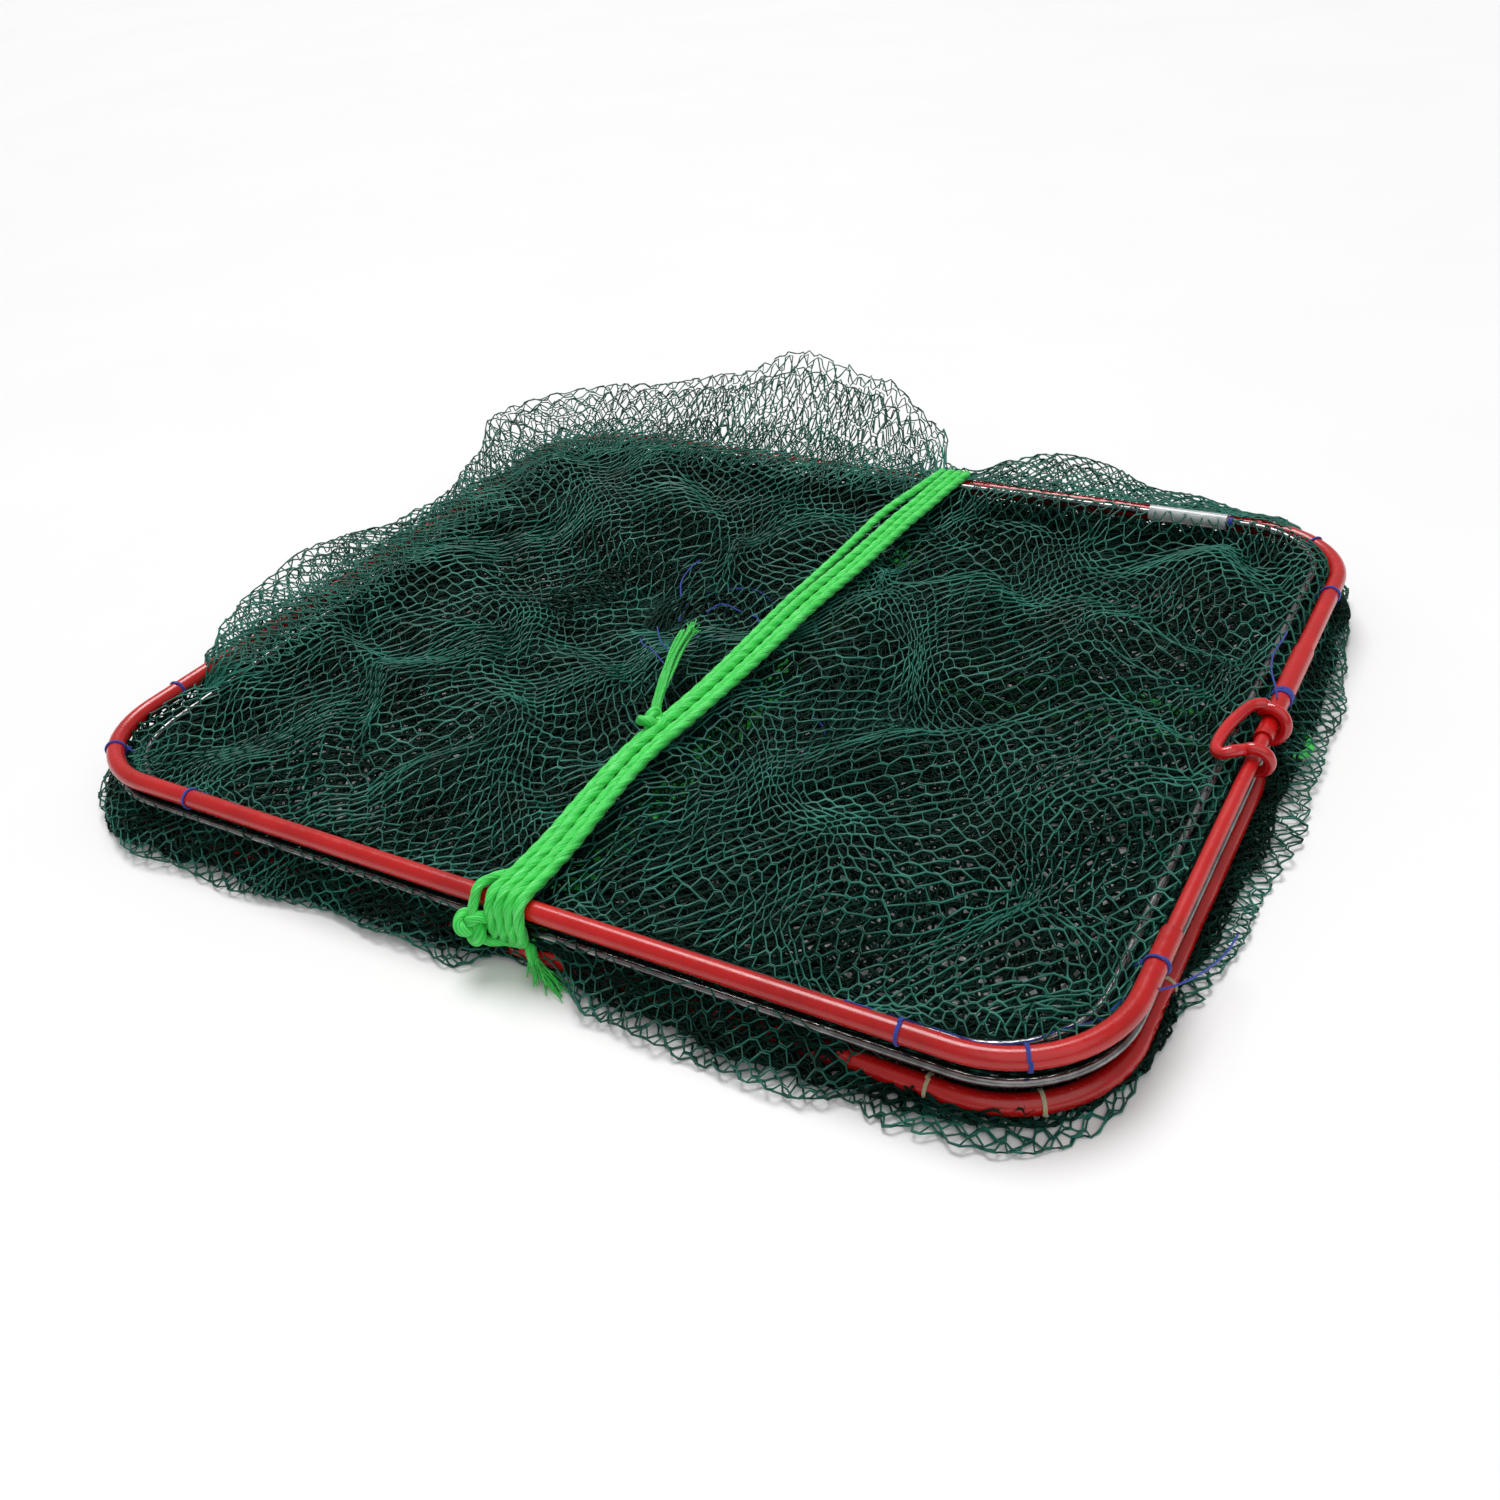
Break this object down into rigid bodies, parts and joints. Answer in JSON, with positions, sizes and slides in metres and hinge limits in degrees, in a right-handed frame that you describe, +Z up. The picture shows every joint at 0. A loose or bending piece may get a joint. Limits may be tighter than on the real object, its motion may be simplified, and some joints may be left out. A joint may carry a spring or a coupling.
{
  "type": "folding crab trap",
  "caption": "Folding rectangular crab trap packed flat: red tube frames, grey wire hoops, dark green netting, bright green tie rope, blue lashings and a red wire bail",
  "frame": {"origin": "On the floor under the centre of the four rings, with the trap folded flat and lying on its bottom frame.", "axes": "+X runs along the long way of the frames toward the rail with the bail, +Y across them toward the back, +Z up through the stack of rings, the way the trap opens."},
  "size_m": [0.68, 0.6, 0.088],
  "materials": {
    "coated_rod": "dull zinc rod, hidden inside the lower tube",
    "red_tube": "glossy red plastic tube, scuffed",
    "red_rod": "red plastic coating on steel rod, satin",
    "bail_red": "deep red dipped coating on steel wire, glossy",
    "grey_wire": "grey wire, metallic",
    "clear_plastic": "clear plastic tube, slightly milky",
    "green_net": "dark green knotless netting",
    "green_rope": "bright green twisted plastic rope",
    "blue_twine": "blue twisted twine",
    "cream_twine": "cream twisted twine"
  },
  "bodies": {
    "lower_frame": {"lower_rod": "coated_rod", "lower_tube": "red_tube", "lower_lashings": "cream_twine", "bottom_net": "green_net", "net_wall_lower": "green_net", "spare_rope": "green_rope"},
    "hoop_low": {"hoop_low": "grey_wire", "hoop_low_sleeve": "clear_plastic", "net_wall_middle": "green_net"},
    "hoop_high": {"hoop_high": "grey_wire", "clear_sleeve": "clear_plastic", "sleeve_lashing": "blue_twine", "net_wall_upper": "green_net", "funnel_left": "green_net", "funnel_right": "green_net", "funnel_left_mouth": "blue_twine", "funnel_right_mouth": "blue_twine"},
    "upper_frame": {"upper_rod": "red_rod", "upper_tube": "red_tube", "tube_joint": "red_tube", "upper_lashings": "blue_twine", "lashing_tails": "blue_twine", "top_net": "green_net", "tie_rope": "green_rope", "tie_knot_front": "green_rope", "tie_knot_middle": "green_rope"},
    "bail": {"bail": "bail_red"}
  },
  "joints": [
    {"name": "hoop_low_lift", "type": "slide", "parent": "lower_frame", "child": "hoop_low", "axis": [0, 0, 1], "range_m": [0, 0.055], "deforming": ["net_wall_lower"]},
    {"name": "hoop_high_lift", "type": "slide", "parent": "hoop_low", "child": "hoop_high", "axis": [0, 0, 1], "range_m": [0, 0.055], "deforming": ["net_wall_middle", "tie_rope"]},
    {"name": "upper_frame_lift", "type": "slide", "parent": "hoop_high", "child": "upper_frame", "axis": [0, 0, 1], "range_m": [0, 0.055], "deforming": ["net_wall_upper"]},
    {"name": "bail_swing", "type": "hinge", "parent": "upper_frame", "child": "bail", "pos_m": [0.3, 0.008, 0.033], "axis": [0, 1, 0], "range_deg": [0, 150]}
  ],
  "couplings": [
    {"joint": "hoop_high_lift", "follows": "hoop_low_lift", "ratio": 1},
    {"joint": "upper_frame_lift", "follows": "hoop_low_lift", "ratio": 1}
  ]
}
